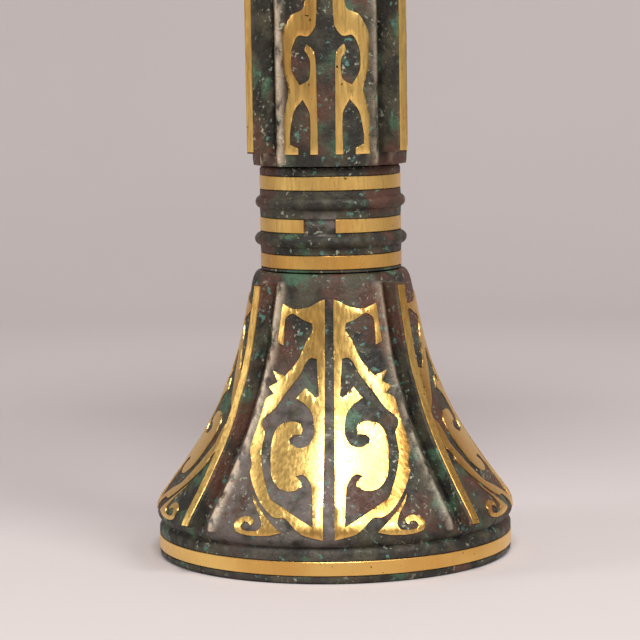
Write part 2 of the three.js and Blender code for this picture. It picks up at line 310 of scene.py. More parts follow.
def paint(piece: bpy.types.Object, name: str, amount: Callable[[float, float, float], float]) -> None:
    """Store an amount of corrosion, or of wear with a painted highlight, on each point.

    Args:
        piece: The piece to mark.
        name: Name of the attribute that the finish reads.
        amount: Amount by angle from the front, radius and height.
    """
    layer = piece.data.attributes.new(name, "FLOAT", "POINT")
    for i, vert in enumerate(piece.data.vertices):
        x, y, z = (value / MM for value in vert.co)
        layer.data[i].value = amount(math.degrees(math.atan2(x, -y)), math.hypot(x, y), z)


@dataclass(frozen=True)
class RibZone:
    """The part of a casting's outer wall that carries ribs."""

    line: Line
    bottom: float
    top: float
    depth: float

    def holds(self, height: float, radius: float) -> bool:
        """Tell whether a point lies on this part of the outer wall."""
        return self.bottom <= height <= self.top and radius > self.line.radius(height) - self.depth


@dataclass(frozen=True)
class Casting:
    """A turned bronze body, with ribs beside its flanges where it has a rib zone; their crests carry wear and
    a painted highlight.
    """

    ribs: RibZone | None = None
    around: int = 720
    rib_height: float = 1.25
    rib_width: float = 1.1
    rib_from_flange: float = 3.0
    rib_spread: float = 0.055
    spread_from: float = 19.0
    roughness: float = 0.07
    swell_scale: float = 0.35
    pit_scale: float = 1.3
    pit_share: float = 0.4
    crest_depth: float = 0.6
    # Share of the pale crest on the right side: the left is fuller because its crest also carries a painted
    # highlight
    right_wear_and_highlight: float = 0.4

    def has_rib(self, height: float, radius: float) -> bool:
        """Tell whether the wall carries ribs at a height and radius."""
        return self.ribs is not None and self.ribs.holds(height, radius)

    def rib(self, degrees: float, radius: float) -> float:
        """Tell how much of a rib stands at a place.

        Args:
            degrees: Angle from the front.
            radius: Radius of the wall.

        Returns:
            The share of the rib's height, from 0 to 1.
        """
        away = abs((degrees % 90.0) - 45.0)
        arc = math.radians(away) * radius
        crest = self.rib_from_flange + self.rib_spread * (radius - self.spread_from)
        return math.exp(-(((arc - crest) / self.rib_width) ** 2))

    def lift(self, degrees: float, radius: float, height: float) -> float:
        """Work out how far the ribs and the uneven cast skin raise a point of the wall.

        Args:
            degrees: Angle from the front.
            radius: Radius of the wall.
            height: Height of the point.

        Returns:
            The rise in millimetres.
        """
        spot = Vector(turned_to(degrees, radius, height)) / MM
        swell = noise.noise(spot * self.swell_scale)
        pits = self.pit_share * abs(noise.noise(spot * self.pit_scale))
        return self.rib_height * self.rib(degrees, radius) + self.roughness * (swell - pits)

    def crest(self, degrees: float, radius: float, height: float) -> float:
        """Tell how pale a rib's crest is at a place: wear and a painted highlight, strongest on the left.

        Args:
            degrees: Angle from the front.
            radius: Radius of the place.
            height: Its height.

        Returns:
            The amount, from 0 to 1.
        """
        if not self.has_rib(height, radius - self.crest_depth):
            return 0.0
        # Pale crest: wear plus a painted highlight, full on the left side and weaker on the right
        return self.rib(degrees, radius) * (1.0 if degrees < 0 else self.right_wear_and_highlight)

    def revolve(self, name: str, outline: list[Pair]) -> bpy.types.Object:
        """Turn a closed outline about the axis and raise its ribs.

        Args:
            name: Name of the piece.
            outline: Closed outline of height and radius in millimetres.

        Returns:
            The body.
        """
        verts = []
        for height, radius in outline:
            ribbed = self.has_rib(height, radius)
            for k in range(self.around):
                degrees = 360.0 * k / self.around
                lift = self.lift(degrees, radius, height) if ribbed else 0.0
                verts.append(turned_to(degrees, radius + lift, height))
        return new_piece(name, verts, skin(len(outline), self.around, closed=True))


@dataclass(frozen=True)
class Bar:
    """An upright bar that follows the body's line, such as a flange or its gold strip."""

    line: Line
    bottom: float
    top: float
    root: float
    reach: float
    width: float
    edge: float
    steps: int = 60
    wander: float = 0.07
    wander_scale: float = 0.6
    sharp_at: float = 25.0

    def build(self, name: str, degrees: float) -> bpy.types.Object:
        """Build the bar at an angle from the front.

        Args:
            name: Name of the piece.
            degrees: Angle of the bar.

        Returns:
            The bar, with its long edges bevelled.
        """
        half = self.width / 2
        shoulder = self.reach - self.edge
        section = ((self.root, -half), (shoulder, -half), (self.reach, self.edge - half),
                   (self.reach, half - self.edge), (shoulder, half), (self.root, half))
        turn = Matrix.Rotation(math.radians(degrees), 3, "Z")
        verts = []
        for k in range(self.steps + 1):
            height = self.bottom + (self.top - self.bottom) * k / self.steps
            base = self.line.radius(height)
            for out, across in section:
                place = Vector((degrees, height * self.wander_scale, across))
                wander = self.wander * noise.noise(place)
                spot = Vector((across * MM, -(base + out + wander) * MM, height * MM))
                verts.append(tuple(turn @ spot))
        rows, sides = self.steps + 1, len(section)
        faces = end_caps(rows, sides) + skin(rows, sides, closed=False)
        return new_piece(name, verts, faces, sharp_at=self.sharp_at)


@dataclass(frozen=True)
class Bowstring:
    """A rounded rib round a collar."""

    height: float
    rise: float
    half: float
    root: float = 0.1
    fullness: float = 1.3
    steps: int = 10

    def outline(self) -> list[Pair]:
        """Outline the rib, going up.

        Returns:
            Points of height and radius in millimetres.
        """
        foot = NECK_RADIUS + self.root
        turns = [math.pi * k / self.steps for k in range(self.steps + 1)]
        return [(self.height - self.half * math.cos(turn),
                 foot + self.rise * math.sin(turn) ** self.fullness) for turn in turns]


@dataclass(frozen=True)
class Band:
    """A gold band round a wall, and the groove that it lies in."""

    bottom: float
    radius: float
    start: float = 0.0
    end: float = 360.0
    height: float = 3.4
    proud: float = 0.1
    thickness: float = 0.6
    bevel: float = 0.1
    bevel_height: float = 0.12
    slit: float = 0.22
    slant: float = 0.03
    depth: float = 0.5
    steps: int = 360

    def groove(self) -> list[Pair]:
        """Outline the band's groove in the wall, going up.

        Returns:
            Points of height and radius in millimetres.
        """
        low = self.bottom - self.slit
        high = self.bottom + self.height + self.slit
        floor = self.radius - self.depth
        return [(low, self.radius), (low + self.slant, floor), (high - self.slant, floor),
                (high, self.radius)]

    def build(self, name: str) -> bpy.types.Object:
        """Build the band, whole or open between its start and its end.

        Args:
            name: Name of the piece.

        Returns:
            The band.
        """
        outer = self.radius + self.proud
        inner, shoulder = outer - self.thickness, outer - self.bevel
        low, high = self.bottom, self.bottom + self.height
        section = [(low, inner), (low, shoulder), (low + self.bevel_height, outer),
                   (high - self.bevel_height, outer), (high, shoulder), (high, inner)]
        whole = self.end - self.start >= 360.0
        rows = self.steps if whole else self.steps + 1
        verts = []
        for k in range(rows):
            degrees = self.start + (self.end - self.start) * k / self.steps
            verts += [turned_to(degrees, radius, height) for height, radius in section]
        faces = skin(rows, len(section), closed=whole)
        if not whole:
            faces += end_caps(rows, len(section))
        return new_piece(name, verts, faces)


@dataclass(frozen=True)
class Inlay:
    """A flat gold shape laid on the curved body."""

    line: Line
    proud: float = 0.32
    sunk: float = 0.3
    edge_drop: float = 0.08
    cut_degrees: float = 2.0
    cut_height: float = 1.6
    sharp_at: float = 50.0

    def fill(self, edge: list[Pair], openings: list[list[Pair]], side: Side) -> bmesh.types.BMesh:
        """Fill an outline in the flat and cut it fine enough to bend round the body.

        Args:
            edge: Outline in degrees from the panel's middle and millimetres.
            openings: Outlines of its holes.
            side: Which half of the panel it lies on.

        Returns:
            The flat shape.
        """
        bm = bmesh.new()
        rims = []
        for loop in (edge, *openings):
            ring = [bm.verts.new((side.value * x, z, 0.0)) for x, z in loop]
            rims += [bm.edges.new((ring[i - 1], ring[i])) for i in range(len(ring))]
        bmesh.ops.triangle_fill(bm, use_beauty=True, use_dissolve=False, edges=rims, normal=(0, 0, 1))
        for axis, step in ((0, self.cut_degrees), (1, self.cut_height)):
            places = [vert.co[axis] for vert in bm.verts]
            cut = math.ceil(min(places) / step) * step
            across = Vector((1, 0, 0)) if axis == 0 else Vector((0, 1, 0))
            while cut < max(places):
                everything = bm.verts[:] + bm.edges[:] + bm.faces[:]
                bmesh.ops.bisect_plane(bm, geom=everything, plane_co=across * cut, plane_no=across, dist=1e-5)
                cut += step
        bm.verts.index_update()
        return bm

    def build(self, name: str, edge: list[Pair], openings: list[list[Pair]], degrees: float,
              side: Side) -> bpy.types.Object:
        """Fill an outline, lay it on the body and give it thickness.

        Args:
            name: Name of the piece.
            edge: Outline in degrees from the panel's middle and millimetres.
            openings: Outlines of its holes.
            degrees: Angle of the panel's middle.
            side: Which half of the panel it lies on.

        Returns:
            The inlay, closed on all sides.
        """
        bm = self.fill(edge, openings, side)
        flat = [vert.co.copy() for vert in bm.verts]
        faces = [tuple(vert.index for vert in face.verts) for face in bm.faces]
        border = [tuple(vert.index for vert in rim.verts) for rim in bm.edges if len(rim.link_faces) == 1]
        bm.free()
        rim_points = {index for pair in border for index in pair}
        verts = []
        for lift in (self.proud, -self.sunk):
            for i, spot in enumerate(flat):
                drop = self.edge_drop if i in rim_points and lift > 0 else 0.0
                radius = self.line.radius(spot.y) + lift - drop
                verts.append(turned_to(degrees + spot.x, radius, spot.y))
        count = len(flat)
        below = [tuple(index + count for index in reversed(face)) for face in faces]
        walls = [(a, b, b + count, a + count) for a, b in border]
        return new_piece(name, verts, faces + below + walls, sharp_at=self.sharp_at)


def add_node(tree: bpy.types.NodeTree, kind: str, **values: object) -> bpy.types.Node:
    """Add a node and set its properties.

    Args:
        tree: Tree that gets the node.
        kind: Node type's name.
        values: Properties to set on it.

    Returns:
        The node.
    """
    node = tree.nodes.new(kind)
    for key, value in values.items():
        setattr(node, key, value)
    return node


def mottle_group() -> bpy.types.NodeTree:
    """Build the shared group that marks spots and patches over a surface.

    Returns:
        The group, with a mask as its output.
    """
    group = bpy.data.node_groups.new("Mottle", "ShaderNodeTree")
    face = group.interface
    face.new_socket("Vector", in_out="INPUT", socket_type="NodeSocketVector")
    for name, value in (("Scale", 100.0), ("Detail", 5.0), ("From", 0.5), ("To", 0.6)):
        face.new_socket(name, in_out="INPUT", socket_type="NodeSocketFloat").default_value = value
    face.new_socket("Mask", in_out="OUTPUT", socket_type="NodeSocketFloat")
    start = add_node(group, "NodeGroupInput")
    end = add_node(group, "NodeGroupOutput")
    cloud = add_node(group, "ShaderNodeTexNoise")
    step = add_node(group, "ShaderNodeMapRange", interpolation_type="SMOOTHSTEP")
    for name in ("Vector", "Scale", "Detail"):
        group.links.new(start.outputs[name], cloud.inputs[name])
    group.links.new(cloud.outputs["Fac"], step.inputs["Value"])
    group.links.new(start.outputs["From"], step.inputs["From Min"])
    group.links.new(start.outputs["To"], step.inputs["From Max"])
    group.links.new(step.outputs["Result"], end.inputs["Mask"])
    return group


@dataclass(frozen=True)
class Spots:
    """One kind of spots: how many to a metre, and the noise values where they start and are full."""

    scale: float
    low: float
    high: float
    detail: float = 5.0
    stretch: Triple = (1.0, 1.0, 1.0)


@dataclass
class Painter:
    """Puts the nodes of one material together."""

    name: str
    mottle: bpy.types.NodeTree
    shift: Triple = (0.013, 7.0, 3.0)
    tree: bpy.types.NodeTree = field(init=False)
    material: bpy.types.Material = field(init=False)
    shader: bpy.types.Node = field(init=False)
    place: bpy.types.Node = field(init=False)

    def __post_init__(self) -> None:
        """Start an empty material with a Principled shader."""
        self.material = bpy.data.materials.new(self.name)
        self.material.use_nodes = True
        self.tree = self.material.node_tree
        self.tree.nodes.clear()
        self.shader = add_node(self.tree, "ShaderNodeBsdfPrincipled")
        out = add_node(self.tree, "ShaderNodeOutputMaterial")
        self.place = add_node(self.tree, "ShaderNodeTexCoord")
        self.link(self.shader.outputs["BSDF"], out.inputs["Surface"])

    def link(self, source: bpy.types.NodeSocket, target: bpy.types.NodeSocket) -> None:
        """Join two sockets."""
        self.tree.links.new(source, target)

    def spots(self, kind: Spots) -> bpy.types.NodeSocket:
        """Place the mottle group for one kind of spots, moved so that no two kinds coincide.

        Args:
            kind: The spots.

        Returns:
            The mask's socket.
        """
        move = add_node(self.tree, "ShaderNodeMapping")
        move.inputs["Scale"].default_value = kind.stretch
        by_scale, by_low, by_high = self.shift
        offset = (kind.scale * by_scale, kind.low * by_low, kind.high * by_high)
        move.inputs["Location"].default_value = offset
        self.link(self.place.outputs["Object"], move.inputs["Vector"])
        node = add_node(self.tree, "ShaderNodeGroup", node_tree=self.mottle)
        self.link(move.outputs["Vector"], node.inputs["Vector"])
        values = (("Scale", kind.scale), ("Detail", kind.detail), ("From", kind.low), ("To", kind.high))
        for name, value in values:
            node.inputs[name].default_value = value
        return node.outputs["Mask"]

    def blend(self, mask: bpy.types.NodeSocket, below: bpy.types.NodeSocket | Colour,
              above: Colour) -> bpy.types.NodeSocket:
        """Mix one colour over another by a mask.

        Args:
            mask: Where the upper colour shows.
            below: Colour or socket under it.
            above: The upper colour.

        Returns:
            The mixed colour's socket.
        """
        mix = add_node(self.tree, "ShaderNodeMix", data_type="RGBA")
        self.link(mask, mix.inputs["Factor"])
        if isinstance(below, tuple):
            mix.inputs[MIX_BELOW].default_value = below
        else:
            self.link(below, mix.inputs[MIX_BELOW])
        mix.inputs[MIX_ABOVE].default_value = above
        return mix.outputs[MIX_RESULT]

    def combined(self, first: bpy.types.NodeSocket, second: bpy.types.NodeSocket,
                 how: str = "MULTIPLY") -> bpy.types.NodeSocket:
        """Work out one value from two.

        Args:
            first: First value's socket.
            second: Second value's socket.
            how: Math node's operation.

        Returns:
            The result's socket.
        """
        node = add_node(self.tree, "ShaderNodeMath", operation=how, use_clamp=True)
        self.link(first, node.inputs[0])
        self.link(second, node.inputs[1])
        return node.outputs[0]

    def attribute(self, name: str) -> bpy.types.NodeSocket:
        """Read an amount that paint() stored."""
        return add_node(self.tree, "ShaderNodeAttribute", attribute_name=name).outputs["Fac"]

    def relief(self, height: bpy.types.NodeSocket, distance: float, strength: float) -> None:
        """Feed a height to the shader's normal through a Bump node.

        Args:
            height: The height's socket.
            distance: Depth of the relief in metres.
            strength: How much of it shows.
        """
        bump = add_node(self.tree, "ShaderNodeBump")
        bump.inputs["Distance"].default_value = distance
        bump.inputs["Strength"].default_value = strength
        self.link(height, bump.inputs["Height"])
        self.link(bump.outputs["Normal"], self.shader.inputs["Normal"])

    def gloss(self, mask: bpy.types.NodeSocket, low: float, high: float) -> None:
        """Feed the shader's roughness from a mask.

        Args:
            mask: The mask's socket.
            low: Roughness where the mask is 0.
            high: Roughness where it is 1.
        """
        node = add_node(self.tree, "ShaderNodeMapRange")
        node.inputs["To Min"].default_value = low
        node.inputs["To Max"].default_value = high
        self.link(mask, node.inputs["Value"])
        self.link(node.outputs["Result"], self.shader.inputs["Roughness"])


@dataclass(frozen=True)
class BronzeFinish:
    """Old bronze: dark metal under green, red, grey and pale corrosion, and pale rib crests of wear with a
    painted highlight.
    """

    metal: Colour = (0.018, 0.016, 0.011, 1.0)
    olive: Colour = (0.062, 0.055, 0.032, 1.0)
    malachite: Colour = (0.055, 0.115, 0.065, 1.0)
    pale: Colour = (0.36, 0.37, 0.27, 1.0)
    turquoise: Colour = (0.08, 0.19, 0.15, 1.0)
    cuprite: Colour = (0.085, 0.035, 0.02, 1.0)
    grey: Colour = (0.14, 0.115, 0.10, 1.0)
    # Pale rib crest colour: wear and a painted highlight
    cream: Colour = (0.62, 0.50, 0.36, 1.0)
    olive_clouds: Spots = Spots(160.0, 0.42, 0.62)
    malachite_spots: Spots = Spots(110.0, 0.57, 0.68)
    cuprite_clouds: Spots = Spots(60.0, 0.50, 0.62)
    grey_breaks: Spots = Spots(220.0, 0.30, 0.55)
    turquoise_specks: Spots = Spots(520.0, 0.63, 0.70)
    pale_specks: Spots = Spots(950.0, 0.57, 0.70)
    pale_fields: Spots = Spots(130.0, 0.46, 0.62)
    # Spots that break up the pale crests of wear and painted highlight
    crest_wear_and_highlight_breaks: Spots = Spots(520.0, 0.34, 0.56, stretch=(1.0, 1.0, 0.4))
    grain: Spots = Spots(420.0, 0.25, 0.80, detail=8.0)
    metallic: float = 0.15
    smoothest: float = 0.42
    roughest: float = 0.85
    relief_depth: float = 0.0005
    relief_strength: float = 0.55

    def material(self, mottle: bpy.types.NodeTree) -> bpy.types.Material:
        """Build the material.

        Args:
            mottle: The shared mottle group.

        Returns:
            The material.
        """
        art = Painter("aged_bronze", mottle)
        colour = art.blend(art.spots(self.olive_clouds), self.metal, self.olive)
        colour = art.blend(art.spots(self.malachite_spots), colour, self.malachite)
        colour = art.blend(art.spots(self.cuprite_clouds), colour, self.cuprite)
        smooth = art.combined(art.attribute("grey"), art.spots(self.grey_breaks))
        colour = art.blend(smooth, colour, self.grey)
        colour = art.blend(art.spots(self.turquoise_specks), colour, self.turquoise)
        specks = art.spots(self.pale_specks)
        colour = art.blend(art.combined(specks, art.spots(self.pale_fields)), colour, self.pale)
        # Pale rib crests: wear plus a painted highlight, strongest on the left side, broken up by spots
        crest_wear_and_highlight = art.combined(art.attribute("crest"), art.spots(self.crest_wear_and_highlight_breaks))
        colour = art.blend(crest_wear_and_highlight, colour, self.cream)
        art.link(colour, art.shader.inputs["Base Color"])
        art.shader.inputs["Metallic"].default_value = self.metallic
        grain = art.spots(self.grain)
        art.gloss(grain, self.smoothest, self.roughest)
        art.relief(art.combined(grain, specks, "ADD"), self.relief_depth, self.relief_strength)
        return art.material


@dataclass(frozen=True)
class GoldFinish:
    """Burnished gold with fine scratches, a warm tarnish and dark nicks."""

    bright: Colour = (0.93, 0.61, 0.19, 1.0)
    warm: Colour = (0.70, 0.37, 0.09, 1.0)
    nick: Colour = (0.05, 0.04, 0.02, 1.0)
    tarnish: Spots = Spots(28.0, 0.42, 0.72, detail=3.0)
    nicks: Spots = Spots(900.0, 0.68, 0.74)
    scratches: Spots = Spots(1500.0, 0.35, 0.70, stretch=(1.0, 1.0, 0.12))
    metallic: float = 1.0
    smoothest: float = 0.27
    roughest: float = 0.40
    relief_depth: float = 0.0001
    relief_strength: float = 0.12

    def material(self, mottle: bpy.types.NodeTree) -> bpy.types.Material:
        """Build the material.

        Args:
            mottle: The shared mottle group.

        Returns:
            The material.
        """
        art = Painter("burnished_gold", mottle)
        colour = art.blend(art.spots(self.tarnish), self.bright, self.warm)
        colour = art.blend(art.spots(self.nicks), colour, self.nick)
        art.link(colour, art.shader.inputs["Base Color"])
        art.shader.inputs["Metallic"].default_value = self.metallic
        scratches = art.spots(self.scratches)
        art.gloss(scratches, self.smoothest, self.roughest)
        art.relief(scratches, self.relief_depth, self.relief_strength)
        return art.material


@dataclass(frozen=True)
class CoveFinish:
    """The pale painted floor and its curved back."""

    colour: Colour = (0.66, 0.60, 0.59, 1.0)
    shade: float = 0.96
    clouds: Spots = Spots(3.0, 0.3, 0.7)
    roughness: float = 0.8

    def material(self, mottle: bpy.types.NodeTree) -> bpy.types.Material:
        """Build the material.

        Args:
            mottle: The shared mottle group.

        Returns:
            The material.
        """
        art = Painter("pale_cove", mottle)
        red, green, blue, _ = self.colour
        darker = (red * self.shade, green * self.shade, blue * self.shade, 1.0)
        art.link(art.blend(art.spots(self.clouds), self.colour, darker), art.shader.inputs["Base Color"])
        art.shader.inputs["Roughness"].default_value = self.roughness
        return art.material


@dataclass(frozen=True)
class GreyPatina:
    """Where smooth grey patina lies: low on the foot's front, and on the gap of the middle band."""

    middle: float = -18.0
    half_width: float = 20.0
    side_fade: float = 8.0
    top: float = 38.0
    top_fade: float = 14.0
    rim_top: float = 9.0
    rim_share: float = 0.25
    most: float = 0.9
    patch_degrees: Pair = (-20.0, 6.0)
    patch_heights: Pair = (81.8, 86.4)

    def amount(self, degrees: float, _radius: float, height: float) -> float:
        """Tell how much patina covers a place.

        Args:
            degrees: Angle from the front.
            _radius: Radius, which doesn't matter here.
            height: Height in millimetres.

        Returns:
            The amount, from 0 to 1.
        """
        left, right = self.patch_degrees
        low, high = self.patch_heights
        if left < degrees < right and low < height < high:
            return 1.0
        across = faded(abs(degrees - self.middle) - self.half_width, self.side_fade)
        up = faded(height - self.top, self.top_fade)
        share = 1.0 if height > self.rim_top else self.rim_share
        return across * up * share * self.most


@dataclass(frozen=True)
class Workshop:
    """Casts the bronze, lays the gold and gives each piece its finish."""

    bronze: bpy.types.Material
    gold: bpy.types.Material
    patina: GreyPatina = GreyPatina()
    flange_width: float = 3.3
    flange_root: float = -1.0
    flange_edge: float = 0.35
    strip_width: float = 2.3
    strip_inset: float = 0.4
    strip_sunk: float = 0.1
    strip_proud: float = 0.35
    strip_edge: float = 0.15

    def finish(self, piece: bpy.types.Object, node: str, slot: str) -> None:
        """Dress a piece and let it stand for its node.

        Args:
            piece: The piece.
            node: Node that it replaces.
            slot: The record's slot for its finish.
        """
        piece.data.materials.clear()
        piece.data.materials.append(self.bronze if slot == "bronze" else self.gold)
        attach(piece, ROOT)
        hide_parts(node)
        LOG.info("%s stands for %s", piece.name, node)

    def flange(self, line: Line, bottom: float, top: float, reach: float) -> Bar:
        """Size a flange on a body's line, between two heights and as far out as given."""
        return Bar(line, bottom, top, self.flange_root, reach, self.flange_width, self.flange_edge)

    def strip(self, flange: Bar) -> Bar:
        """Size the gold strip on a flange's outer face."""
        return Bar(flange.line, flange.bottom + self.strip_inset, flange.top - self.strip_inset,
                   flange.reach - self.strip_sunk, flange.reach + self.strip_proud, self.strip_width,
                   self.strip_edge)

    def cast(self, node: str, outline: list[Pair], ribs: RibZone | None = None,
             flange: Bar | None = None) -> None:
        """Build one casting with its flanges, its corrosion and its pale rib crests of wear and painted
        highlight.

        Args:
            node: Node that it replaces.
            outline: Closed outline of height and radius in millimetres.
            ribs: Where its wall carries ribs, if it does.
            flange: The flange to put on each corner, if it has any.
        """
        casting = Casting(ribs)
        body = casting.revolve(f"{node}_dressed", outline)
        # Rib crests: wear plus a painted highlight, stronger on the left
        paint(body, "crest", casting.crest)
        paint(body, "grey", self.patina.amount)
        if flange:
            parts = [flange.build(f"{node}_{corner.name.lower()}", corner.value) for corner in Corner]
            with bpy.context.temp_override(active_object=body, selected_editable_objects=[body, *parts]):
                bpy.ops.object.join()
        self.finish(body, node, "bronze")

    def gild_band(self, node: str, band: Band) -> None:
        """Build one gold band."""
        self.finish(band.build(f"{node}_dressed"), node, "gold")

    def gild_flanges(self, kind: str, flange: Bar) -> None:
        """Build the gold strip of each of a body's flanges.

        Args:
            kind: Start of the strips' node names.
            flange: The body's flange.
        """
        strip = self.strip(flange)
        for corner in Corner:
            node = f"{kind}_{corner.name.lower()}"
            self.finish(strip.build(f"{node}_dressed", corner.value), node, "gold")

    def gild_panels(self, kind: str, line: Line, edge: list[Pair], openings: list[list[Pair]]) -> None:
        """Lay a mirrored pair of inlays on each panel.

        Args:
            kind: Start of their nodes' names.
            line: Outline of the body that they lie on.
            edge: Outline of the right one.
            openings: Outlines of its holes.
        """
        inlay = Inlay(line)
        for panel in Panel:
            for side in Side:
                node = f"{kind}_{panel.name.lower()}_{side.name.lower()}"
                piece = inlay.build(f"{node}_dressed", edge, openings, panel.value, side)
                self.finish(piece, node, "gold")


@dataclass(frozen=True)
class Foot:
    """The flared foot: rim, lip, flare, shoulder and spigot, hollow below."""

    shop: Workshop
    line: Line = FOOT_LINE
    line_step: float = 0.7
    hollow_radius: float = 42.6
    top: float = 72.3
    band: Band = Band(2.1, RIM_RADIUS)
    ribs: RibZone = RibZone(FOOT_LINE, 11.2, 69.5, 1.5)
    flange_bottom: float = 12.5
    flange_top: float = 70.0
    flange_reach: float = 4.8

    def outline(self) -> list[Pair]:
        """Outline the foot, up its outside and down its hollow.

        Returns:
            The closed outline of height and radius in millimetres.
        """
        rim = [(0.0, self.hollow_radius), (0.0, 43.9), (0.25, 44.5), (0.8, 44.9), (1.4, RIM_RADIUS)]
        lip = [(7.2, RIM_RADIUS), (7.9, 44.7), (8.3, 44.1), (8.7, 43.8), (9.1, 44.2), (9.6, 44.8),
               (10.3, 45.25)]
        shoulder = [(70.6, 19.8), (71.6, 19.3), (72.1, 18.8), (self.top, 18.2)]
        spigot_top = self.top + SPIGOT_LENGTH
        spigot = [(self.top, SPIGOT_RADIUS), (spigot_top, SPIGOT_RADIUS), (spigot_top, SPIGOT_BORE),
                  (66.3, SPIGOT_BORE)]
        hollow = [(59.1, 19.8), (47.2, 22.9), (38.8, 26.5), (31.2, 30.6), (26.1, 33.8), (18.2, 38.9),
                  (8.4, self.hollow_radius)]
        return [*rim, *self.band.groove(), *lip, *self.line.samples(self.line_step), *shoulder, *spigot,
                *hollow]

    def flange(self) -> Bar:
        """Size the foot's flanges."""
        return self.shop.flange(self.line, self.flange_bottom, self.flange_top, self.flange_reach)

    def cast(self) -> None:
        """Build the foot's bronze."""
        self.shop.cast("foot_casting", self.outline(), self.ribs, self.flange())

    def gild(self) -> None:
        """Build the foot's rim band, flange strips, dragons and corner scrolls."""
        self.shop.gild_band("foot_rim_gold_band", self.band)
        self.shop.gild_flanges("foot_flange_gold", self.flange())
        self.shop.gild_panels("foot_dragon", self.line, rounded(DRAGON_EDGE), [rounded(DRAGON_OPENING)])
        self.shop.gild_panels("foot_scroll", self.line, rounded(SCROLL_EDGE), [])


@dataclass(frozen=True)
class NeckCollar:
    """The ringed sleeve between foot and belly, with three gold bands."""

    shop: Workshop
    bottom: float = 72.7
    top: float = 98.6
    lower_band: Band = Band(73.4, NECK_RADIUS)
    lower_rib: Bowstring = Bowstring(80.3, 1.4, 1.6)
    middle_band: Band = Band(82.4, NECK_RADIUS, start=6.0, end=340.0)
    upper_rib: Bowstring = Bowstring(89.6, 1.1, 1.5)
    upper_band: Band = Band(93.0, NECK_RADIUS)
    chamfer_height: float = 0.6
    chamfer_depth: float = 0.4

    def outline(self) -> list[Pair]:
        """Outline the sleeve, up its outside."""
        return [(self.bottom, SLEEVE_BORE), (self.bottom, NECK_RADIUS), *self.lower_band.groove(),
                *self.lower_rib.outline(), *self.middle_band.groove(), *self.upper_rib.outline(),
                *self.upper_band.groove(), (self.top - self.chamfer_height, NECK_RADIUS),
                (self.top, NECK_RADIUS - self.chamfer_depth), (self.top, SLEEVE_BORE)]

    def cast(self) -> None:
        """Build the collar's bronze."""
        self.shop.cast("neck_collar", self.outline())

    def gild(self) -> None:
        """Build the collar's three gold bands."""
        self.shop.gild_band("neck_gold_band_lower", self.lower_band)
        self.shop.gild_band("neck_gold_band_middle", self.middle_band)
        self.shop.gild_band("neck_gold_band_upper", self.upper_band)


@dataclass(frozen=True)
class Belly:
    """The drum above the neck, whose lower spigot is the vessel's floor."""

    shop: Workshop
    line: Line = BELLY_LINE
    line_step: float = 1.2
    bottom: float = 99.0
    top: float = 155.6
    seat_radius: float = 18.9
    well_radius: float = 17.1
    floor_thickness: float = 3.0
    axis_gap: float = 0.05
    rib_depth: float = 1.3
    flange_bottom: float = 102.4
    flange_top: float = 152.6
    flange_reach: float = 7.0

    def outline(self) -> list[Pair]:
        """Outline the belly, up its outside and down its well.

        Returns:
            The closed outline of height and radius in millimetres.
        """
        floor = self.bottom - SPIGOT_LENGTH
        floor_top = floor + self.floor_thickness
        spigot_top = self.top + SPIGOT_LENGTH
        seat = [(floor, self.axis_gap), (floor, SPIGOT_RADIUS), (self.bottom, SPIGOT_RADIUS),
                (self.bottom, self.seat_radius)]
        spigot = [(self.top, SPIGOT_RADIUS), (spigot_top, SPIGOT_RADIUS), (spigot_top, SPIGOT_BORE)]
        well = [(152.6, SPIGOT_BORE), (147.6, self.well_radius), (104.0, self.well_radius),
                (floor_top, SPIGOT_BORE), (floor_top, self.axis_gap)]
        return [*seat, *self.line.samples(self.line_step), *spigot, *well]

    def flange(self) -> Bar:
        """Size the belly's flanges."""
        return self.shop.flange(self.line, self.flange_bottom, self.flange_top, self.flange_reach)

    def cast(self) -> None:
        """Build the belly's bronze."""
        ribs = RibZone(self.line, self.bottom, self.top, self.rib_depth)
        self.shop.cast("belly_casting", self.outline(), ribs, self.flange())

    def gild(self) -> None:
        """Build the belly's flange strips and scrolls."""
        self.shop.gild_flanges("belly_flange_gold", self.flange())
        self.shop.gild_panels("belly_scroll", self.line, rounded(BELLY_SCROLL_EDGE), [])


@dataclass(frozen=True)
class UpperCollar:
    """The ringed sleeve between belly and trumpet, with one gold band."""

    shop: Workshop
    bottom: float = 156.0
    top: float = 171.6
    band: Band = Band(160.5, NECK_RADIUS)
    rib: Bowstring = Bowstring(167.5, 1.2, 1.5)
    chamfer_height: float = 0.4
    chamfer_depth: float = 0.3

    def outline(self) -> list[Pair]:
        """Outline the sleeve, up its outside."""
        return [(self.bottom, SLEEVE_BORE), (self.bottom, NECK_RADIUS), *self.band.groove(),
                *self.rib.outline(), (self.top - self.chamfer_height, NECK_RADIUS),
                (self.top, NECK_RADIUS - self.chamfer_depth), (self.top, SLEEVE_BORE)]

    def cast(self) -> None:
        """Build the collar's bronze."""
        self.shop.cast("upper_collar", self.outline())

    def gild(self) -> None:
        """Build the collar's gold band."""
        self.shop.gild_band("upper_collar_gold_band", self.band)


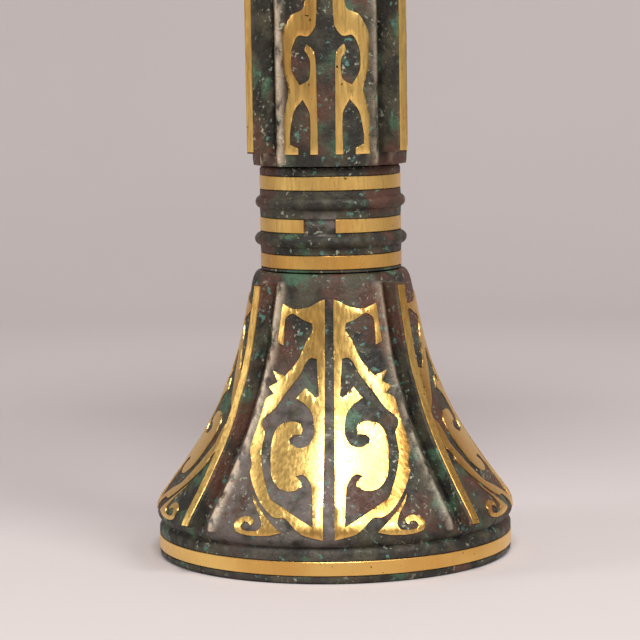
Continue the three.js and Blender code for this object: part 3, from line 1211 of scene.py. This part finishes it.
@dataclass(frozen=True)
class Trumpet:
    """The flared mouth, with a blade of gold on each panel."""

    shop: Workshop
    line: Line = TRUMPET_LINE
    line_step: float = 1.5
    bottom: float = 172.0
    mouth_radius: float = 75.0
    mouth_top: float = 280.0
    lip_bevel: float = 0.4
    lip_inside: float = 73.2
    wall: float = 2.3
    inside_lift: float = 1.0
    inside_from: float = 178.0

    def outline(self) -> list[Pair]:
        """Outline the trumpet, up its outside and down its inside.

        Returns:
            The closed outline of height and radius in millimetres.
        """
        bell = self.line.samples(self.line_step)
        spigot = self.bottom - SPIGOT_LENGTH
        highest = self.mouth_top - self.lip_bevel
        inside = [(min(z + self.inside_lift, highest), r - self.wall)
                  for z, r in reversed(bell) if z > self.inside_from]
        return [(spigot, SPIGOT_BORE), (spigot, SPIGOT_RADIUS), (self.bottom, SPIGOT_RADIUS), *bell,
                (279.7, self.mouth_radius), (self.mouth_top, self.mouth_radius - self.lip_bevel),
                (self.mouth_top, self.lip_inside), *inside, (175.0, SPIGOT_BORE)]

    def cast(self) -> None:
        """Build the trumpet's bronze."""
        self.shop.cast("trumpet_casting", self.outline())

    def gild(self) -> None:
        """Build the trumpet's blades."""
        inlay = Inlay(self.line)
        edge = rounded(mirrored(BLADE_HALF, BLADE_TIP))
        opening = rounded(mirrored(BLADE_HOLE_HALF, BLADE_HOLE_TIP))
        for panel in Panel:
            node = f"trumpet_blade_{panel.name.lower()}"
            piece = inlay.build(f"{node}_dressed", edge, [opening], panel.value, Side.RIGHT)
            self.shop.finish(piece, node, "gold")


@dataclass(frozen=True)
class Lamp:
    """A soft square lamp, in metres and watts."""

    name: str
    place: Triple
    size: float
    power: float

    def build(self, target: Triple) -> None:
        """Add the lamp, facing a point.

        Args:
            target: The point.
        """
        data = bpy.data.lights.new(self.name, "AREA")
        data.size = self.size
        data.energy = self.power
        lamp = bpy.data.objects.new(self.name, data)
        spot = Vector(self.place)
        lamp.location = spot
        lamp.rotation_euler = (Vector(target) - spot).to_track_quat("-Z", "Y").to_euler()
        bpy.context.scene.collection.objects.link(lamp)


@dataclass(frozen=True)
class Studio:
    """The floor, lamps and camera, as the photograph has them: metres, degrees and pixels."""

    focal_px: float = 2500.0
    frame_px: float = 640.0
    distance: float = 0.634
    height: float = 0.1275
    beside: float = -0.0031
    turn: float = 2.3
    tilt: float = 6.16
    lean: float = -0.9
    sensor: float = 36.0
    cove_reach: float = 3.0
    cove_back: float = 0.55
    cove_bend: float = 0.5
    cove_top: float = 2.5
    cove_steps: int = 24
    target: Triple = (0.0, 0.0, 0.08)
    lamps: tuple[Lamp, ...] = (
        Lamp("key", (0.8, -0.75, 0.95), 0.6, 10.0),
        Lamp("crown", (0.05, -0.6, 0.95), 0.35, 7.0),
        Lamp("left", (-1.0, -0.25, 0.5), 0.4, 3.0),
    )
    sky_colour: Colour = (0.60, 0.56, 0.55, 1.0)
    sky_strength: float = 0.5

    def build_camera(self) -> None:
        """Place the camera at the photograph's viewing angle."""
        data = bpy.data.cameras.new("camera")
        data.sensor_width = self.sensor
        data.lens = self.focal_px / self.frame_px * self.sensor
        camera = bpy.data.objects.new("camera", data)
        around = Matrix.Rotation(math.radians(self.turn), 4, "Z")
        place = around @ Matrix.Translation((self.beside, -self.distance, self.height))
        pitch = Matrix.Rotation(math.radians(90.0 - self.tilt), 4, "X")
        roll = Matrix.Rotation(math.radians(self.lean), 4, "Z")
        camera.matrix_world = place @ (pitch @ roll)
        bpy.context.scene.collection.objects.link(camera)
        bpy.context.scene.camera = camera

    def build_cove(self, finish: bpy.types.Material) -> None:
        """Build the floor, which curves up into the backdrop.

        Args:
            finish: Its material.
        """
        wall, bend = self.cove_back + self.cove_bend, self.cove_bend
        turns = [math.pi / 2 * k / self.cove_steps for k in range(self.cove_steps + 1)]
        curve = [(self.cove_back + bend * math.sin(turn), bend - bend * math.cos(turn)) for turn in turns]
        line = [(-self.cove_reach, 0.0), *curve, (wall, self.cove_top)]
        verts = [(x, y, z) for y, z in line for x in (-self.cove_reach, self.cove_reach)]
        faces = [(2 * i, 2 * i + 1, 2 * i + 3, 2 * i + 2) for i in range(len(line) - 1)]
        mesh = bpy.data.meshes.new("cove")
        mesh.from_pydata(verts, [], faces)
        mesh.shade_smooth()
        mesh.materials.append(finish)
        cove = bpy.data.objects.new("cove", mesh)
        bpy.context.scene.collection.objects.link(cove)

    def build_light(self) -> None:
        """Light the vase softly from the front, the right and above."""
        for lamp in self.lamps:
            lamp.build(self.target)
        world = bpy.data.worlds.new("studio")
        world.use_nodes = True
        sky = world.node_tree.nodes["Background"]
        sky.inputs["Color"].default_value = self.sky_colour
        sky.inputs["Strength"].default_value = self.sky_strength
        bpy.context.scene.world = world
        bpy.context.scene.view_settings.view_transform = "Standard"


def main() -> None:
    """Build the studio, then the vase from its foot up: first the bronze, then the gold."""
    logging.basicConfig(level=logging.INFO)
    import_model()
    mottle = mottle_group()
    studio = Studio()
    studio.build_camera()
    studio.build_cove(CoveFinish().material(mottle))
    studio.build_light()
    shop = Workshop(BronzeFinish().material(mottle), GoldFinish().material(mottle))
    sections = (Foot(shop), NeckCollar(shop), Belly(shop), UpperCollar(shop), Trumpet(shop))
    for section in sections:
        section.cast()
    for section in sections:
        section.gild()


if __name__ == "__main__":
    main()
